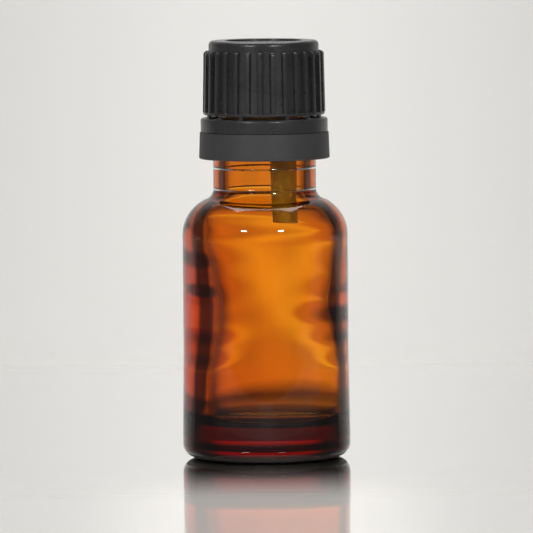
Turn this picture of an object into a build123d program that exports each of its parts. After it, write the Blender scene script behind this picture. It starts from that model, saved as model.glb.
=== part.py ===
from build123d import *
from math import cos, radians, tan
import os

# Dropper bottle for oils: amber glass, an eighteen millimetre screw neck with a snapped-in
# dropper insert, a ribbed screw cap and the tamper band that breaks away below the cap.
# Millimetres. The origin is the middle of the base on the table, +Z is up, and the dropper
# tube stands off the axis towards +X.

# Glass body
bottle_height = 64.3        # table to the rim of the mouth
body_radius = 14.05
body_wall = 3.1
heel_flare = 0.2            # the heel is a trace wider than the wall above it
heel_round = 2.3
heel_band = 4.5             # height of the widest part of the heel
heel_taper = 13.5           # height over which the heel runs into the wall
floor_thickness = 5.6
floor_round = 2.4
push_up = 0.8               # hollow under the base
push_up_slope = 0.8
bearing_width = 1.7         # flat ring that the bottle stands on

# Shoulder
shoulder_depth = 21.9       # rim down to where the wall's line would meet the shoulder's line
shoulder_slope = 20.5       # degrees above level
shoulder_wall = 2.6
shoulder_round = 6.3
shoulder_inner_round = 4.0
neck_round = 1.7
neck_inner_round = 2.0

# Neck and finish, measured down from the rim; insert, cap and band take their radii from the neck
neck_radius = 8.75
neck_wall = 2.05
thread_depth = 0.85         # room for the thread's ridge, from the finish out to the neck
mouth_step = 0.45           # the mouth is narrower than the neck's bore
rim_round = 0.4
thread_zone = 6.9           # rim to the top of the holding bead
bead_stand = 0.2            # beyond the neck
bead_height = 1.5
bead_round = 0.45
groove_depth = 0.75
groove_height = 2.9
ledge_height = 0.7          # cone from the groove out to the full neck
bore_cone = 2.0             # length over which the mouth's bore opens to the neck's

# Dropper insert
plug_length = 8.8
plug_wall = 0.9
plug_lead = 0.8             # length of the tapered nose of the plug
plug_nose = 0.35            # how far the nose draws in
flange_inset = 0.6          # from the finish
flange_thickness = 1.0
deck_thickness = 1.2
nozzle_height = 3.5         # above the flange
nozzle_radius = 3.3
nozzle_tip_radius = 2.75
dish_radius = 1.9
dish_depth = 0.8
drip_hole_radius = 0.5
drip_hole_offset = 0.75     # towards -X, away from the tube
vent_hole_radius = 0.35
vent_hole_offset = 0.95     # towards +X, in the dish
tube_length = 25.1          # rim to the cut end of the tube
tube_top_radius = 2.45
tube_end_radius = 2.1
tube_root = 0.15            # how deep the tube's top grows into the plug's wall
tube_lean = 0.3             # towards +X from top to end
tube_wall = 0.85

# Screw cap
cap_clearance = 0.25        # between the neck's radius and the cap's bore
cap_crown_step = 0.85       # the bore is narrower under the crown
cap_bore_shoulder = 1.0     # height of the cone between the two bores
cap_wall = 0.8
cap_draw = 0.45             # the skirt narrows towards the crown
crown_round = 0.75
crown_height = 1.75         # plain crown above the ribs
crown_thickness = 1.5
crown_rim_width = 2.75
crown_recess_depth = 0.4
lip_width = 0.5             # beyond the skirt
lip_height = 0.55
nozzle_clearance = 0.5      # between the nozzle's tip and the underside of the crown
seal_ring_width = 0.9
seal_pin_radius = 1.45
seal_pin_clearance = 0.1    # above the floor of the nozzle's dish
rib_count = 30
rib_width = 0.6
rib_foot_stand = 0.6        # beyond the skirt
rib_top_stand = 0.85        # beyond the crown
rib_top_round = 0.55
rib_foot_round = 0.25
rib_edge_round = 0.2
rib_phase = 2.4             # degrees from +X to the first rib

# Tamper band
band_clearance = 0.35       # between bead and band
band_wall = 1.8
band_draw = 0.15            # the lower tier narrows towards the collar
band_height = 4.6           # matt lower tier
collar_wall = 1.5
collar_height = 2.3         # glossy upper tier
collar_round = 0.42
band_round = 0.25
parting_groove = 0.12
collar_above_bead = 0.3
snap_ring_reach = 0.5       # inwards past the bead's edge
snap_ring_height = 0.7
snap_ring_clearance = 0.3   # below the bead
snap_ring_slope = 0.8
slot_height = 0.55          # gap between band and cap
bridge_count = 8
bridge_width = 0.7
bridge_thickness = 0.5

small_round = 0.15

# Radii and levels that follow from the sizes above
heel_radius = body_radius + heel_flare
neck_bore = neck_radius - neck_wall
finish_radius = neck_radius - thread_depth
mouth_bore = neck_bore - mouth_step
bead_radius = neck_radius + bead_stand
groove_radius = neck_radius - groove_depth
plug_bore = mouth_bore - plug_wall
flange_radius = finish_radius - flange_inset
tube_top_offset = plug_bore + tube_root - tube_top_radius
tube_end_offset = tube_top_offset + tube_lean
cap_bore = neck_radius + cap_clearance
cap_crown_bore = cap_bore - cap_crown_step
cap_skirt_radius = cap_bore + cap_wall
cap_crown_radius = cap_skirt_radius - cap_draw
seal_ring_radius = (nozzle_radius + flange_radius) / 2
band_bore = bead_radius + band_clearance
band_foot_radius = band_bore + band_wall
band_top_radius = band_foot_radius - band_draw
collar_radius = band_bore + collar_wall
snap_ring_radius = bead_radius - snap_ring_reach
shoulder_height = bottle_height - shoulder_depth
bead_top = bottle_height - thread_zone
bead_foot = bead_top - bead_height
groove_foot = bead_foot - groove_height
flange_top = bottle_height + flange_thickness
nozzle_tip = flange_top + nozzle_height
dish_floor = nozzle_tip - dish_depth
plug_foot = bottle_height - plug_length
collar_top = bead_top + collar_above_bead
cap_foot = collar_top + slot_height
crown_underside = nozzle_tip + nozzle_clearance
cap_top = crown_underside + crown_thickness


def turned(corners):
    """A solid turned about Z from corners given as radius, height and rounding."""
    with BuildPart() as blank:
        with BuildSketch(Plane.XZ):
            with BuildLine():
                FilletPolyline(
                    *[(radius, height) for radius, height, _ in corners],
                    radius=[rounding for _, _, rounding in corners],
                    close=True,
                )
            make_face()
        revolve(axis=Axis.Z)
    return blank.part


def amber_bottle():
    """Thick pressed and blown glass: outside first, then the inside back down to the floor."""
    rise = tan(radians(shoulder_slope))
    corner_tangent = tan(radians(90 - shoulder_slope) / 2)
    outer_run = (body_radius - neck_radius) / cos(radians(shoulder_slope)) / corner_tangent
    inner_radius = body_radius - body_wall
    inner_run = (inner_radius - neck_bore) / cos(radians(shoulder_slope)) / corner_tangent
    drop = shoulder_wall / cos(radians(shoulder_slope))

    def shoulder_at(radius):
        return shoulder_height + (body_radius - radius) * rise

    bearing_outer = heel_radius - heel_round
    bearing_inner = bearing_outer - bearing_width
    corners = [
        (0, push_up, 0),
        (bearing_inner - push_up_slope, push_up, push_up_slope / 2),
        (bearing_inner, 0, small_round),
        (heel_radius, 0, heel_round),
        (heel_radius, heel_band, 0),
        (body_radius, heel_band + heel_taper, 0),
        (body_radius, shoulder_height, min(shoulder_round, 0.78 * outer_run)),
        (neck_radius, shoulder_at(neck_radius), min(neck_round, 0.21 * outer_run)),
        (neck_radius, groove_foot - ledge_height, small_round),
        (groove_radius, groove_foot, small_round),
        (groove_radius, bead_foot, small_round),
        (bead_radius, bead_foot, bead_round),
        (bead_radius, bead_top, bead_round),
        (finish_radius, bead_top, small_round),
        (finish_radius, bottle_height, rim_round),
        (mouth_bore, bottle_height, rim_round),
        (mouth_bore, plug_foot, 0),
        (neck_bore, plug_foot - bore_cone, 0),
        (neck_bore, shoulder_at(neck_bore) - drop, min(neck_inner_round, 0.3 * inner_run)),
        (inner_radius, shoulder_at(inner_radius) - drop, min(shoulder_inner_round, 0.66 * inner_run)),
        (inner_radius, floor_thickness, floor_round),
        (0, floor_thickness, 0),
    ]
    return turned(corners)


def dropper_insert():
    """Soft insert in one piece: plug, flange, drip nozzle and the long slanted air tube."""
    deck_underside = flange_top - deck_thickness
    tube_end = bottle_height - tube_length
    body = turned([
        (0, deck_underside, 0),
        (plug_bore, deck_underside, 0),
        (plug_bore, plug_foot, 0),
        (mouth_bore - plug_nose, plug_foot, small_round),
        (mouth_bore, plug_foot + plug_lead, 0),
        (mouth_bore, bottle_height, 0),
        (flange_radius, bottle_height, small_round),
        (flange_radius, flange_top, small_round),
        (nozzle_radius, flange_top, small_round),
        (nozzle_tip_radius, nozzle_tip, small_round),
        (dish_radius, nozzle_tip, small_round),
        (dish_radius, dish_floor, small_round),
        (0, dish_floor, 0),
    ])
    top_plane = Plane.XY.offset(deck_underside)
    end_plane = Plane.XY.offset(tube_end)
    tube = loft([
        top_plane * Pos(tube_top_offset, 0) * Circle(tube_top_radius),
        end_plane * Pos(tube_end_offset, 0) * Circle(tube_end_radius),
    ])
    tube_bore = loft([
        top_plane * Pos(tube_top_offset, 0) * Circle(tube_top_radius - tube_wall),
        end_plane * Pos(tube_end_offset, 0) * Circle(tube_end_radius - tube_wall),
    ])
    vent = loft([
        Plane.XY.offset(dish_floor) * Pos(vent_hole_offset, 0) * Circle(vent_hole_radius),
        top_plane * Pos(tube_top_offset, 0) * Circle(vent_hole_radius),
    ])
    drip_depth = dish_floor - deck_underside
    drip = Pos(-drip_hole_offset, 0, dish_floor - drip_depth / 2) * Cylinder(drip_hole_radius, drip_depth)
    return body + tube - tube_bore - vent - drip


def cap_rib():
    """One grip rib, standing in the XZ plane, with a rounded top, foot and crest."""
    foot = cap_foot + lip_height / 2
    top = cap_top - crown_height
    root = (cap_bore + cap_crown_radius) / 2
    with BuildPart() as rib:
        with BuildSketch(Plane.XZ):
            with BuildLine():
                FilletPolyline(
                    (root, foot),
                    (cap_skirt_radius + rib_foot_stand, foot),
                    (cap_crown_radius + rib_top_stand, top),
                    (root, top),
                    radius=[0, rib_foot_round, rib_top_round, 0],
                    close=True,
                )
            make_face()
        extrude(amount=rib_width / 2, both=True)
        crest = [
            edge for edge in rib.edges()
            if edge.center().X > cap_skirt_radius and abs(edge.center().Y) > rib_width / 4
        ]
        fillet(crest, rib_edge_round)
    return rib.part


def screw_cap():
    """Single-wall cap: ribbed skirt, plain crown, and inside it a seal ring and a seal pin."""
    ring_inner = seal_ring_radius - seal_ring_width / 2
    ring_outer = seal_ring_radius + seal_ring_width / 2
    ring_root = 2 * small_round
    lip_radius = cap_skirt_radius + lip_width
    recess_radius = cap_crown_radius - crown_rim_width
    pin_foot = dish_floor + seal_pin_clearance
    rib_top = cap_top - crown_height
    shell = turned([
        (cap_bore, cap_foot, small_round),
        (lip_radius, cap_foot, small_round),
        (lip_radius, cap_foot + lip_height, small_round),
        (cap_skirt_radius, cap_foot + lip_height, small_round),
        (cap_crown_radius, rib_top, 0),
        (cap_crown_radius, cap_top, crown_round),
        (recess_radius, cap_top, small_round),
        (recess_radius, cap_top - crown_recess_depth, small_round),
        (0, cap_top - crown_recess_depth, 0),
        (0, pin_foot, 0),
        (seal_pin_radius, pin_foot, 3 * small_round),
        (seal_pin_radius, crown_underside, small_round),
        (ring_inner - ring_root, crown_underside, 0),
        (ring_inner, flange_top, small_round),
        (ring_outer, flange_top, small_round),
        (ring_outer + ring_root, crown_underside, 0),
        (cap_crown_bore, crown_underside, 2 * small_round),
        (cap_crown_bore, flange_top + cap_bore_shoulder, 0),
        (cap_bore, flange_top, 0),
    ])
    ribs = PolarLocations(0, rib_count, start_angle=rib_phase) * cap_rib()
    return shell + ribs


def tamper_band():
    """Two-tier ring below the cap, with the snap ring inside and the broken bridges on top."""
    line = collar_top - collar_height
    foot = line - band_height
    snap_top = bead_foot - snap_ring_clearance
    snap_foot = snap_top - snap_ring_height
    ring = turned([
        (band_bore, foot, small_round),
        (band_foot_radius, foot, band_round),
        (band_top_radius, line - parting_groove, 0),
        (collar_radius - parting_groove, line - parting_groove, 0),
        (collar_radius, line, 0),
        (collar_radius, collar_top, collar_round),
        (band_bore, collar_top, small_round),
        (band_bore, snap_top + snap_ring_slope / 4, 0),
        (snap_ring_radius, snap_top, small_round),
        (snap_ring_radius, snap_foot, small_round),
        (band_bore, snap_foot - snap_ring_slope, 0),
    ])
    bridge_radius = (band_bore + collar_radius) / 2
    bridge = Pos(bridge_radius, 0, collar_top) * Box(
        bridge_thickness, bridge_width, slot_height, align=(Align.CENTER, Align.CENTER, Align.MIN)
    )
    bridges = PolarLocations(0, bridge_count, start_angle=180 / bridge_count) * bridge
    return ring + bridges


os.makedirs("parts", exist_ok=True)
for make_piece in (amber_bottle, dropper_insert, screw_cap, tamper_band):
    export_step(make_piece(), f"parts/{make_piece.__name__}.step")
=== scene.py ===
import math

import bmesh
import bpy
from mathutils import Matrix, Vector


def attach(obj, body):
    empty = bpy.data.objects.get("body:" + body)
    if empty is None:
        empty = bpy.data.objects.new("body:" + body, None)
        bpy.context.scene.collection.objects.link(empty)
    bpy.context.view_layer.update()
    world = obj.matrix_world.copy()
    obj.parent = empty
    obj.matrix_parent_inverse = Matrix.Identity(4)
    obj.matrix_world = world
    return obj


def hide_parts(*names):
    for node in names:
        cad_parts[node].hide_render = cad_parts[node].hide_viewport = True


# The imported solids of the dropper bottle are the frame: metres, the origin in the middle of the base
# on the table, +Z up, the dropper tube towards +X and the viewer towards -Y.
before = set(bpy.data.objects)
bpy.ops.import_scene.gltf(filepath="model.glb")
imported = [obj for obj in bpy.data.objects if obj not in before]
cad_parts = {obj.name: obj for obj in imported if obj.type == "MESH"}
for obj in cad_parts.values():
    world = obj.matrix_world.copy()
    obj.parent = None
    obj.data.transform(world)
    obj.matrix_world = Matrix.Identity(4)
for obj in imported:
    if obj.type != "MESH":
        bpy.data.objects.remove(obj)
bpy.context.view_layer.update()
scene = bpy.context.scene

# Camera
# A long lens from more than a metre away, a little higher than the cap and turned by half a degree,
# so that the bottle leans to the left as it does in the photograph.
mm = 0.001
eye = Vector((0.2, -1150.0, 118.0)) * mm
aim = Vector((0.2, 0.0, 32.3)) * mm
camera_roll = math.radians(0.47)
sensor_width = 36.0
focal_length = 458.0

camera = bpy.data.objects.new("camera", bpy.data.cameras.new("camera"))
camera.data.sensor_width = sensor_width
camera.data.lens = focal_length
camera.data.clip_start = 0.05
camera.data.clip_end = 20.0
camera.matrix_world = (
    Matrix.Translation(eye)
    @ (aim - eye).to_track_quat("-Z", "Y").to_matrix().to_4x4()
    @ Matrix.Rotation(-camera_roll, 4, "Z")
)
scene.collection.objects.link(camera)
scene.camera = camera
scene.view_settings.view_transform = "Standard"


# Table and backdrop
# One white acrylic sheet that lies under the bottle and sweeps up behind it, glossy round the bottle
# and dull further back, its white darkened towards the sides by painted shade where the pool of light falls off.
# A faint warm glow in front of the foot is painted light that stands in for the light that real glass
# lets through to the sheet.
class Wire:
    """One socket of a material. Arithmetic with it adds the Math nodes that work it out."""

    def __init__(self, tree, socket=None):
        self.tree, self.socket = tree, socket

    def node(self, kind, settings=None, sockets=None, out=0):
        """Any other node: its settings first, then the values or wires of its sockets."""
        made = self.tree.nodes.new(kind)
        for name, value in (settings or {}).items():
            if name == "stops":
                while len(made.color_ramp.elements) < len(value):
                    made.color_ramp.elements.new(1.0)
                for stop, (place, colour) in zip(made.color_ramp.elements, value):
                    stop.position, stop.color = place, (*colour, 1.0)
            else:
                setattr(made, name, value)
        for name, value in (sockets or {}).items():
            if isinstance(value, Wire):
                self.tree.links.new(value.socket, made.inputs[name])
            else:
                made.inputs[name].default_value = value
        return Wire(self.tree, made.outputs[out])

    def math(self, operation, *values):
        return self.node("ShaderNodeMath", {"operation": operation}, dict(enumerate(values)))

    def __add__(self, other):
        return self.math("ADD", self, other)

    def __sub__(self, other):
        return self.math("SUBTRACT", self, other)

    def __rsub__(self, other):
        return self.math("SUBTRACT", other, self)

    def __mul__(self, other):
        return self.math("MULTIPLY", self, other)

    __radd__, __rmul__ = __add__, __mul__

    def blend(self, low, high):
        """The colour low where this wire is 0, high where it is 1."""
        colours = {"Factor": self, 6: (*low, 1.0), 7: (*high, 1.0)}
        return self.node("ShaderNodeMix", {"data_type": "RGBA"}, colours, out=2)

    def between(self, low, high):
        """0 at low, 1 at high, smooth between them and level beyond. Low may be the larger."""
        return self.node(
            "ShaderNodeMapRange",
            {"interpolation_type": "SMOOTHSTEP"},
            {"Value": self, "From Min": low, "From Max": high},
        )


def new_finish(name):
    """An empty material, and a wire to build it from."""
    finish = bpy.data.materials.new(name)
    finish.use_nodes = True
    finish.node_tree.nodes.clear()
    return finish, Wire(finish.node_tree)


def put_on(wire, shader, socket="Surface"):
    """Joins a shader to its material's output."""
    ends = [n for n in wire.tree.nodes if n.type == "OUTPUT_MATERIAL"]
    end = ends[0] if ends else wire.tree.nodes.new("ShaderNodeOutputMaterial")
    wire.tree.links.new(shader.socket, end.inputs[socket])


def outline(corners, longest=None, fine_zone=(0, 0), fine=0.2, loop=True):
    """A bmesh line through corners of radius, height and rounding, in mm, rounded and cut into short edges."""
    bm = bmesh.new()
    places = [Vector((radius, 0, height)) for radius, height, _ in corners]
    points = [bm.verts.new(place * mm) for place in places]
    for here, there in zip(points, points[1:]):
        bm.edges.new((here, there))
    if loop and (corners[0][0] > 0 or corners[-1][0] > 0):
        bm.edges.new((points[-1], points[0]))
    for i, (_, _, rounding) in enumerate(corners):
        if rounding == 0:
            continue
        before = places[i] - places[i - 1]
        after = places[(i + 1) % len(places)] - places[i]
        turn = before.angle(after)
        bmesh.ops.bevel(
            bm, geom=[points[i]], offset=rounding * math.tan(turn / 2) * mm, offset_type="OFFSET",
            segments=max(3, round(math.degrees(turn) / 8)), profile=0.5, affect="VERTICES",
            clamp_overlap=False, material=-1,
        )
    if longest:
        for edge in bm.edges[:]:
            height = (edge.verts[0].co.z + edge.verts[1].co.z) / 2 / mm
            limit = fine if fine_zone[0] < height < fine_zone[1] else longest
            cuts = math.ceil(edge.calc_length() / mm / limit) - 1
            if cuts > 0:
                bmesh.ops.subdivide_edges(bm, edges=[edge], cuts=cuts)
    return bm


def turned(corners, steps, **spacing):
    """The outline turned once round the bottle's axis."""
    bm = outline(corners, **spacing)
    bmesh.ops.spin(
        bm, geom=bm.verts[:] + bm.edges[:], cent=(0, 0, 0), axis=(0, 0, 1),
        angle=math.tau, steps=steps, use_merge=True, use_duplicate=False,
    )
    bmesh.ops.remove_doubles(bm, verts=bm.verts[:], dist=0.0005 * mm)
    bmesh.ops.recalc_face_normals(bm, faces=bm.faces[:])
    return bm


def piece(name, bm, *finishes, sharp=40):
    """Turns a bmesh into a shaded object with its finishes, in the scene."""
    mesh = bpy.data.meshes.new(name)
    bm.to_mesh(mesh)
    bm.free()
    for polygon in mesh.polygons:
        polygon.use_smooth = True
    mesh.set_sharp_from_angle(angle=math.radians(sharp))
    for finish in finishes:
        mesh.materials.append(finish)
    made = bpy.data.objects.new(name, mesh)
    scene.collection.objects.link(made)
    return made


sheet_half_width = 1600.0
sheet_front = -180.0
sheet_back = 1000.0
sheet_height = 1900.0
sheet_bend = 560.0
sheet_gap = 0.2             # clear gloss between the bottle's foot and the sheet's reflecting face
sheet_strip = 40.0          # longest step along the sheet and its bend
table_white = (0.80, 0.79, 0.765)
# painted shade: how far the sheet's white falls off towards the sides
painted_side_falloff = 0.84           # the sheet's tone to the sides, as a share of its white
glow = (0.40, 0.36, 0.33)

bm = bmesh.new()
line = [
    bm.verts.new(Vector((-sheet_half_width, along, height)) * mm)
    for along, height in ((sheet_front, -sheet_gap), (sheet_back, -sheet_gap), (sheet_back, sheet_height))
]
for here, there in zip(line, line[1:]):
    bm.edges.new((here, there))
bmesh.ops.bevel(
    bm, geom=[line[1]], offset=sheet_bend * mm, offset_type="OFFSET", segments=48, profile=0.5,
    affect="VERTICES", clamp_overlap=False, material=-1,
)
for edge in bm.edges[:]:
    cuts = math.ceil(edge.calc_length() / mm / sheet_strip) - 1
    if cuts > 0:
        bmesh.ops.subdivide_edges(bm, edges=[edge], cuts=cuts)
far_side = bmesh.ops.extrude_edge_only(bm, edges=bm.edges[:])
bmesh.ops.translate(
    bm, verts=[v for v in far_side["geom"] if isinstance(v, bmesh.types.BMVert)],
    vec=(2 * sheet_half_width * mm, 0, 0),
)
if sum(face.normal.z for face in bm.faces) < 0:
    bmesh.ops.reverse_faces(bm, faces=bm.faces[:])
acrylic, wire = new_finish("white acrylic")
place = wire.node("ShaderNodeTexCoord", out=3)
aside = wire.math("ABSOLUTE", wire.node("ShaderNodeSeparateXYZ", sockets={"Vector": place}, out=0))
# painted shade: the white darkens towards the sides, a painted falloff of the pool of light
white = aside.between(0.0, 0.09).blend(table_white, tuple(painted_side_falloff * part for part in table_white))
along = wire.node("ShaderNodeSeparateXYZ", sockets={"Vector": place}, out=1)
near = 0.66 + 0.34 * along.between(-0.070, -0.018) - along.between(0.10, 0.30)
let_through = aside.between(0.034, 0.010) * along.between(-0.011, -0.016)
mirror = wire.node("ShaderNodeFresnel", sockets={"IOR": 1.49}) * near.math("MAXIMUM", near, 0.0)
lit = wire.node("ShaderNodeAddShader", sockets={
    0: wire.node("ShaderNodeBsdfDiffuse", sockets={"Color": white}),
    1: wire.node("ShaderNodeEmission", sockets={"Color": let_through.blend((0.0, 0.0, 0.0), glow)}),
})
gloss = wire.node("ShaderNodeBsdfGlossy", sockets={"Color": (1.0, 1.0, 1.0, 1.0), "Roughness": 0.04})
put_on(wire, wire.node("ShaderNodeMixShader", sockets={"Fac": mirror, 1: lit, 2: gloss}))
sheet = piece("acrylic_sheet", bm, acrylic)

# Shade drum
# Out of the camera's sight, an open drum round the bottle that only shows through the glass. It is no
# lamp and no real card, but glows with painted light and shade: a painted shadow dark under the bottle,
# painted light paler with distance, painted shade darker again up the wall and dim between its four clear
# sides.
drum_radius = 450.0
drum_height = 400.0
drum_bend = 120.0
# Painted light and shade, given as emission: a painted shadow near black under the bottle, painted warm light that
# pales with distance, and painted shade up the wall and between the four clear sides.
painted_warm_light = (0.62, 0.31, 0.21)
painted_floor_light_and_shade = [
    (0.034, (0.0, 0.0, 0.0)), (0.15, (0.26, 0.15, 0.10)), (0.22, (0.10, 0.05, 0.03)), (0.28, (0.72, 0.37, 0.23)),
    (0.52, (0.62, 0.36, 0.24)), (0.75, (0.88, 0.66, 0.55)), (0.96, (1.08, 0.90, 0.80)),
]
painted_wall_light_and_shade = [(0.07, painted_warm_light), (0.24, (0.05, 0.02, 0.02))]
painted_corner_shade = (0.1, 0.1, 0.1)
painted_glow_strength = 1.3

bm = turned(
    [(0, 0, 0), (drum_radius, 0, drum_bend), (drum_radius, drum_height, 0)], steps=64, longest=40, loop=False,
)
shade, wire = new_finish("painted light and shade card")
place = wire.node("ShaderNodeTexCoord", out=3)
x = wire.math("ABSOLUTE", wire.node("ShaderNodeSeparateXYZ", sockets={"Vector": place}, out=0))
y = wire.math("ABSOLUTE", wire.node("ShaderNodeSeparateXYZ", sockets={"Vector": place}, out=1))
reach = wire.math("SQRT", x * x + y * y)
clear_side = wire.math("DIVIDE", wire.math("MAXIMUM", x, y), reach).between(0.84, 0.965)
height = wire.node("ShaderNodeSeparateXYZ", sockets={"Vector": place}, out=2)
floor = wire.node("ShaderNodeValToRGB", {"stops": painted_floor_light_and_shade}, {"Fac": reach * (1 / (drum_radius * mm))})
wall = wire.node("ShaderNodeValToRGB", {"stops": painted_wall_light_and_shade}, {"Fac": height * (1 / (drum_height * mm))})
tone = wire.node("ShaderNodeMix", {"data_type": "RGBA"}, {
    "Factor": height.between(0.002, 0.016), 6: floor, 7: wall,
}, out=2)
tone = wire.node("ShaderNodeMix", {"data_type": "RGBA", "blend_type": "MULTIPLY"}, {
    "Factor": 1.0, 6: tone, 7: clear_side.blend(painted_corner_shade, (1.0, 1.0, 1.0)),
}, out=2)
# The drum glows with this painted tone, though it is no lamp.
put_on(wire, wire.node("ShaderNodeEmission", sockets={"Color": tone, "Strength": painted_glow_strength}))
drum = piece("shade_drum", bm, shade)
drum.visible_camera = drum.visible_diffuse = drum.visible_glossy = drum.visible_shadow = False

# Studio light
# A dim white room, a broad soft light overhead that also lights the backdrop, and two small lamps in
# front, low on either side, that leave their two glints on the glass.
room_white = (1.0, 0.985, 0.96)
room_strength = 0.13
overhead_watts = 13.7
front_lamp_size = (150, 80)
front_lamp_watts = 3.4
front_lamp_elevation = 24
front_lamp_distance = 1100

world = bpy.data.worlds.new("room")
world.use_nodes = True
room = world.node_tree.nodes["Background"]
room.inputs["Color"].default_value = (*room_white, 1.0)
room.inputs["Strength"].default_value = room_strength
scene.world = world


def lamp(name, place, size, watts, target=(0, 0, 35)):
    """A rectangular soft light at a place in mm, turned to its target."""
    light = bpy.data.lights.new(name, "AREA")
    light.shape, light.size, light.size_y = "RECTANGLE", size[0] * mm, size[1] * mm
    light.energy = watts
    made = bpy.data.objects.new(name, light)
    spot, goal = Vector(place) * mm, Vector(target) * mm
    made.matrix_world = Matrix.Translation(spot) @ (goal - spot).to_track_quat("-Z", "Y").to_matrix().to_4x4()
    scene.collection.objects.link(made)


def in_front(azimuth):
    """A front lamp's place in mm, that many degrees to the right of the viewer."""
    rise = math.radians(front_lamp_elevation)
    turn = math.radians(azimuth)
    level = front_lamp_distance * math.cos(rise)
    return (level * math.sin(turn), -level * math.cos(turn), front_lamp_distance * math.sin(rise))


lamp("overhead", (0, 500, 1300), (1200, 1000), overhead_watts, target=(0, 350, 0))
lamp("lamp_left", in_front(-30.5), front_lamp_size, front_lamp_watts)
lamp("lamp_right", in_front(23), front_lamp_size, front_lamp_watts)

# Bottle
# Amber soda-lime glass, pressed and blown: a stippled push-up under a thick floor, a wall that the
# blowing left uneven, the seams of the neck ring and the mould, and the screw thread on the finish.
bottle_height = 64.3
push_up = 0.8
push_up_radius = 9.45
foot_radius = 10.25
heel_radius = 14.25
heel_top = 4.5
body_foot = 18.0
body_radius = 14.05
shoulder_edge = 42.4
neck_foot = 44.3816
neck_radius = 8.75
neck_top = 52.3
groove_radius = 8.0
groove_foot = 53.0
bead_radius = 8.95
bead_foot = 55.9
bead_top = 57.4
finish_radius = 7.9
mouth_bore = 6.25
plug_foot = 55.5
neck_bore = 6.7
neck_bore_top = 53.5
inner_neck_foot = 43.0
inner_shoulder_edge = 41.4
inner_radius = 10.95
floor_level = 5.6
seam_ridge = 0.04
lower_seam = (45.5, 45.62, 45.75)       # foot, crest and top
upper_seam = (49.05, 49.2, 49.35)

thread_pitch = 3.0
thread_start = 58.9         # middle of the ridge's low end
thread_turns = 1.38
thread_depth = 0.83
thread_half_width = 0.95
thread_fade = 0.07          # of a turn, at each end
thread_flank = 1.55         # how steeply the ridge falls off from its flat crest

amber = (0.938, 0.757, 0.0)
amber_density = 900.0

# Height, radius and shift towards +X of the blown inside, which is narrowest below the middle
blown_inside = (
    (0.0, 11.2, 0.95), (9.5, 11.2, 0.95), (14.6, 11.15, 0.97), (18.8, 10.8, 1.0), (22.3, 10.47, 0.97),
    (26.5, 10.2, 0.73), (31.0, 10.6, 0.67), (37.0, 11.1, 0.5), (41.5, 10.95, 0.15), (44.0, 10.95, 0.0),
)


def smooth(share):
    """A share from 0 to 1, eased at both ends."""
    share = min(max(share, 0.0), 1.0)
    return share * share * (3 - 2 * share)


def thread_ridge(vertex, start, turns, half_width):
    """How much of the full ridge of a right-hand thread stands at this vertex, from 0 to 1."""
    around = math.atan2(vertex.co.y, vertex.co.x) / math.tau
    height = vertex.co.z / mm
    turn = around + round((height - start) / thread_pitch - around)
    ends = smooth(turn / thread_fade) * smooth((turns - turn) / thread_fade)
    aside = abs(height - start - thread_pitch * turn) / half_width
    return ends * smooth(thread_flank * (1 - aside))


bm = turned([
    (0, push_up, 0), (push_up_radius, push_up, 0.4), (foot_radius, 0, 0.15),
    (heel_radius, 0, 2.3), (heel_radius, heel_top, 9), (body_radius, body_foot, 60),
    (body_radius, shoulder_edge, 6.3), (neck_radius, neck_foot, 1.7),
    (neck_radius, lower_seam[2], 0), (neck_radius + seam_ridge, lower_seam[1], 0), (neck_radius, lower_seam[0], 0),
    (neck_radius, upper_seam[2], 0), (neck_radius + seam_ridge, upper_seam[1], 0), (neck_radius, upper_seam[0], 0),
    (neck_radius, neck_top, 0.15), (groove_radius, groove_foot, 0.15), (groove_radius, bead_foot, 0.15),
    (bead_radius, bead_foot, 0.45), (bead_radius, bead_top, 0.45), (finish_radius, bead_top, 0.3),
    (finish_radius, bottle_height, 0.45), (mouth_bore, bottle_height, 0.4), (mouth_bore, plug_foot, 0),
    (neck_bore, neck_bore_top, 0), (neck_bore, inner_neck_foot, 2.6),
    (inner_radius, inner_shoulder_edge, 3.9), (inner_radius, floor_level, 2.4), (0, floor_level, 0),
], steps=192, longest=0.8, fine_zone=(57.6, 64.2))
for vertex in bm.verts:
    radius = math.hypot(vertex.co.x, vertex.co.y) / mm
    height = vertex.co.z / mm
    if height > bead_top and radius > 7.2:
        ridge = thread_depth * thread_ridge(vertex, thread_start, thread_turns, thread_half_width)
        vertex.co.xy *= 1 + ridge / radius
    elif floor_level - 0.01 < height < 43.9 and radius < inner_radius + 0.2:
        low, high = next(pair for pair in zip(blown_inside, blown_inside[1:]) if height <= pair[1][0])
        share = smooth((height - low[0]) / (high[0] - low[0]))
        width = low[1] + (high[1] - low[1]) * share
        shift = low[2] + (high[2] - low[2]) * share
        vertex.co.x = vertex.co.x * width / inner_radius + shift * mm

glass, wire = new_finish("amber glass")
place = wire.node("ShaderNodeTexCoord", out=3)
ripple = wire.node("ShaderNodeTexNoise", sockets={"Vector": place, "Scale": 160.0, "Detail": 2.0})
put_on(wire, wire.node("ShaderNodeBsdfPrincipled", sockets={
    "Base Color": (1.0, 1.0, 1.0, 1.0), "Roughness": 0.0, "IOR": 1.52, "Transmission Weight": 1.0,
    "Normal": wire.node("ShaderNodeBump", sockets={"Height": ripple, "Strength": 0.05, "Distance": 0.2 * mm}),
}))
tint = wire.node("ShaderNodeVolumeAbsorption", sockets={"Color": (*amber, 1.0), "Density": amber_density})
put_on(wire, tint, "Volume")

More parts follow.
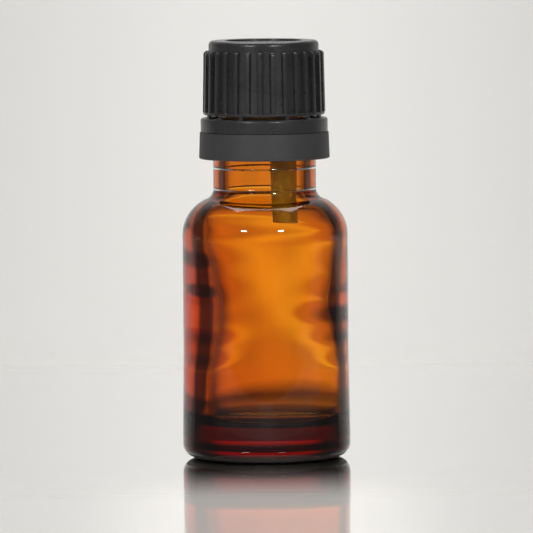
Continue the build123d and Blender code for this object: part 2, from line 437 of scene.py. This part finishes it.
# The push-up's underside is opaque and near black: painted shade for the dark seen through the base, laid over the
# real bumps of its stipple.
stipple_and_shade, wire = new_finish("stippled base painted dark")
place = wire.node("ShaderNodeTexCoord", out=3)
dots = wire.node("ShaderNodeTexVoronoi", sockets={"Vector": place, "Scale": 1400.0})
put_on(wire, wire.node("ShaderNodeBsdfPrincipled", sockets={
    "Base Color": (0.016, 0.009, 0.006, 1.0), "Roughness": dots * 0.2 + 0.45,
    "Normal": wire.node("ShaderNodeBump", sockets={"Height": dots, "Strength": 0.5, "Distance": 0.08 * mm}),
}))
for face in bm.faces:
    if face.calc_center_median().z < (push_up + 0.05) * mm and face.normal.z < -0.5:
        face.material_index = 1
bottle = piece("bottle_glass", bm, glass, stipple_and_shade, sharp=60)
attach(bottle, "bottle")
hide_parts("amber_bottle")

# Dropper insert
# One moulding of natural low-density polyethylene, pressed into the mouth: plug, flange, drip nozzle
# with its dish, and the long air tube that stands off the axis and shows through the glass.
polyethylene, wire = new_finish("natural polyethylene")
place = wire.node("ShaderNodeTexCoord", out=3)
grain = wire.node("ShaderNodeTexNoise", sockets={"Vector": place, "Scale": 900.0, "Detail": 3.0})
put_on(wire, wire.node("ShaderNodeBsdfPrincipled", sockets={
    "Base Color": grain.blend((0.74, 0.73, 0.68), (0.84, 0.83, 0.78)), "Roughness": grain * 0.15 + 0.35,
    "Subsurface Weight": 0.35, "Subsurface Radius": (0.002, 0.0018, 0.0015), "Subsurface Scale": 1.0,
    "Normal": wire.node("ShaderNodeBump", sockets={"Height": grain, "Strength": 0.15, "Distance": 0.05 * mm}),
}))
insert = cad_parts["dropper_insert"]
for material_slot in insert.material_slots:
    material_slot.material = polyethylene

# Screw cap
# Black polypropylene in one single-wall moulding with a polished, slightly hollow crown, thirty grip
# ribs and a small lip at the foot. Inside are the thread, the seal ring and the seal pin.
cap_foot = 58.25
cap_top = 70.8
lip_radius = 10.3
lip_height = 0.55
skirt_radius = 9.8
crown_radius = 9.35
dish_radius = 6.6
dish_depth = 0.4
cap_bore = 9.0
cap_bore_top = 65.3
crown_bore = 8.15
crown_bore_foot = 66.3
crown_underside = 69.3
seal_ring_outer = 5.75
seal_ring_inner = 4.85
seal_ring_root = 4.55
seal_ring_foot = 65.3
pin_radius = 1.45
pin_foot = 68.1

cap_thread_start = thread_start + thread_pitch / 2
cap_thread_turns = 1.15
cap_thread_depth = 0.88
cap_thread_half_width = 0.85

rib_top = 69.05
rib_foot = 58.525
rib_root = 9.0
rib_top_radius = 10.2
rib_foot_radius = 10.4
rib_count = 30
rib_width = 0.6
rib_turn = 2.4              # degrees that the first rib stands past +X

polish, wire = new_finish("polished black polypropylene")
place = wire.node("ShaderNodeTexCoord", out=3)
flow = wire.node("ShaderNodeTexNoise", sockets={"Vector": place, "Scale": 260.0, "Detail": 5.0})
speck = wire.node("ShaderNodeTexNoise", sockets={"Vector": place, "Scale": 2600.0, "Detail": 2.0})
put_on(wire, wire.node("ShaderNodeBsdfPrincipled", sockets={
    "Base Color": flow.blend((0.024, 0.023, 0.025), (0.038, 0.037, 0.040)),
    "Roughness": flow * 0.16 + 0.20,
    "Normal": wire.node("ShaderNodeBump", sockets={"Height": speck, "Strength": 0.12, "Distance": 0.03 * mm}),
}))

bm = turned([
    (0, cap_top - dish_depth, 0), (dish_radius, cap_top - dish_depth, 0.15), (dish_radius, cap_top, 0.15),
    (crown_radius, cap_top, 0.75), (crown_radius, rib_top, 0), (skirt_radius, cap_foot + lip_height, 0.15),
    (lip_radius, cap_foot + lip_height, 0.15), (lip_radius, cap_foot, 0.15), (cap_bore, cap_foot, 0.15),
    (cap_bore, cap_bore_top, 0), (crown_bore, crown_bore_foot, 0), (crown_bore, crown_underside, 0.3),
    (seal_ring_outer, crown_underside, 0), (seal_ring_outer, seal_ring_foot, 0.15),
    (seal_ring_inner, seal_ring_foot, 0.15), (seal_ring_root, crown_underside, 0),
    (pin_radius, crown_underside, 0.15), (pin_radius, pin_foot, 0.45), (0, pin_foot, 0),
], steps=240, longest=1.5, fine_zone=(58.6, 65.2))
for vertex in bm.verts:
    radius = math.hypot(vertex.co.x, vertex.co.y) / mm
    if 8.5 < radius < 9.05:
        share = thread_ridge(vertex, cap_thread_start, cap_thread_turns, cap_thread_half_width)
        vertex.co.xy *= 1 - cap_thread_depth * share / radius

rib = outline([
    (rib_root, rib_foot, 0), (rib_foot_radius, rib_foot, 0.25), (rib_top_radius, rib_top, 0.55),
    (rib_root, rib_top, 0),
])
face = bmesh.ops.contextual_create(rib, geom=rib.edges[:])["faces"]
grown = bmesh.ops.extrude_face_region(rib, geom=face)
bmesh.ops.translate(
    rib, verts=[v for v in grown["geom"] if isinstance(v, bmesh.types.BMVert)], vec=(0, rib_width * mm, 0)
)
bmesh.ops.translate(rib, verts=rib.verts[:], vec=(0, -rib_width / 2 * mm, 0))
bmesh.ops.recalc_face_normals(rib, faces=rib.faces[:])
crest = [
    edge for edge in rib.edges
    if min(v.co.x for v in edge.verts) > (rib_root + 0.3) * mm and edge.calc_face_angle(0) > 0.8
    and abs(edge.verts[0].co.y - edge.verts[1].co.y) < 0.01 * mm
]
bmesh.ops.bevel(
    rib, geom=crest, offset=0.2 * mm, offset_type="OFFSET", segments=4, profile=0.5, affect="EDGES",
    clamp_overlap=True, material=-1,
)
turn = Matrix.Rotation(math.radians(rib_turn), 3, "Z")
bmesh.ops.rotate(rib, verts=rib.verts[:], cent=(0, 0, 0), matrix=turn)
bmesh.ops.spin(
    rib, geom=rib.verts[:] + rib.edges[:] + rib.faces[:], cent=(0, 0, 0), axis=(0, 0, 1),
    angle=math.tau * (rib_count - 1) / rib_count, steps=rib_count - 1, use_duplicate=True,
)
ribs = bpy.data.meshes.new("ribs")
rib.to_mesh(ribs)
rib.free()
bm.from_mesh(ribs)
bpy.data.meshes.remove(ribs)
cap = piece("cap_moulding", bm, polish)
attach(cap, "cap")
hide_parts("screw_cap")

# Tamper band
# The cap's lower ring, of the same moulding: a polished collar over a spark-eroded matt tier, a snap
# ring inside that holds it below the bead, and the bridges that break when the cap first turns.
collar_top = 57.7
collar_foot = 55.4
band_foot = 50.8
collar_radius = 10.8
band_top_radius = 10.95
band_foot_radius = 11.1
band_bore = 9.3
parting_groove = 0.12
snap_ring_radius = 8.45
snap_ring_foot = 54.1
snap_ring_low_lip = 54.9
snap_ring_high_lip = 55.6
snap_ring_top = 55.8
bridge_count = 8
bridge_size = (0.5, 0.7, 0.55)

matt, wire = new_finish("matt black polypropylene")
place = wire.node("ShaderNodeTexCoord", out=3)
spark = wire.node("ShaderNodeTexNoise", sockets={"Vector": place, "Scale": 3200.0, "Detail": 3.0})
cloud = wire.node("ShaderNodeTexNoise", sockets={"Vector": place, "Scale": 180.0, "Detail": 4.0})
put_on(wire, wire.node("ShaderNodeBsdfPrincipled", sockets={
    "Base Color": cloud.blend((0.030, 0.030, 0.031), (0.046, 0.046, 0.048)),
    "Roughness": cloud * 0.12 + 0.50,
    "Normal": wire.node("ShaderNodeBump", sockets={"Height": spark, "Strength": 0.35, "Distance": 0.04 * mm}),
}))

bm = turned([
    (band_bore, band_foot, 0.15), (band_foot_radius, band_foot, 0.25),
    (band_top_radius, collar_foot - parting_groove, 0.05),
    (collar_radius - parting_groove, collar_foot - parting_groove, 0), (collar_radius, collar_foot, 0.03),
    (collar_radius, collar_top, 0.42), (band_bore, collar_top, 0.15), (band_bore, snap_ring_top, 0),
    (snap_ring_radius, snap_ring_high_lip, 0.15), (snap_ring_radius, snap_ring_low_lip, 0.15),
    (band_bore, snap_ring_foot, 0),
], steps=240, longest=1.0)
for face in bm.faces:
    face.material_index = 0 if face.calc_center_median().z < (collar_foot - parting_groove / 2) * mm else 1
for i in range(bridge_count):
    made = bmesh.ops.create_cube(bm, size=1.0)["verts"]
    bmesh.ops.scale(bm, verts=made, vec=Vector(bridge_size) * mm)
    place = Vector(((band_bore + collar_radius) / 2, 0, collar_top + bridge_size[2] / 2)) * mm
    bmesh.ops.translate(bm, verts=made, vec=place)
    turn = Matrix.Rotation(math.tau * (i + 0.5) / bridge_count, 3, "Z")
    bmesh.ops.rotate(bm, verts=made, cent=(0, 0, 0), matrix=turn)
    for face in {f for v in made for f in v.link_faces}:
        face.material_index = 1
band = piece("band_moulding", bm, matt, polish)
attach(band, "band")
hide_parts("tamper_band")
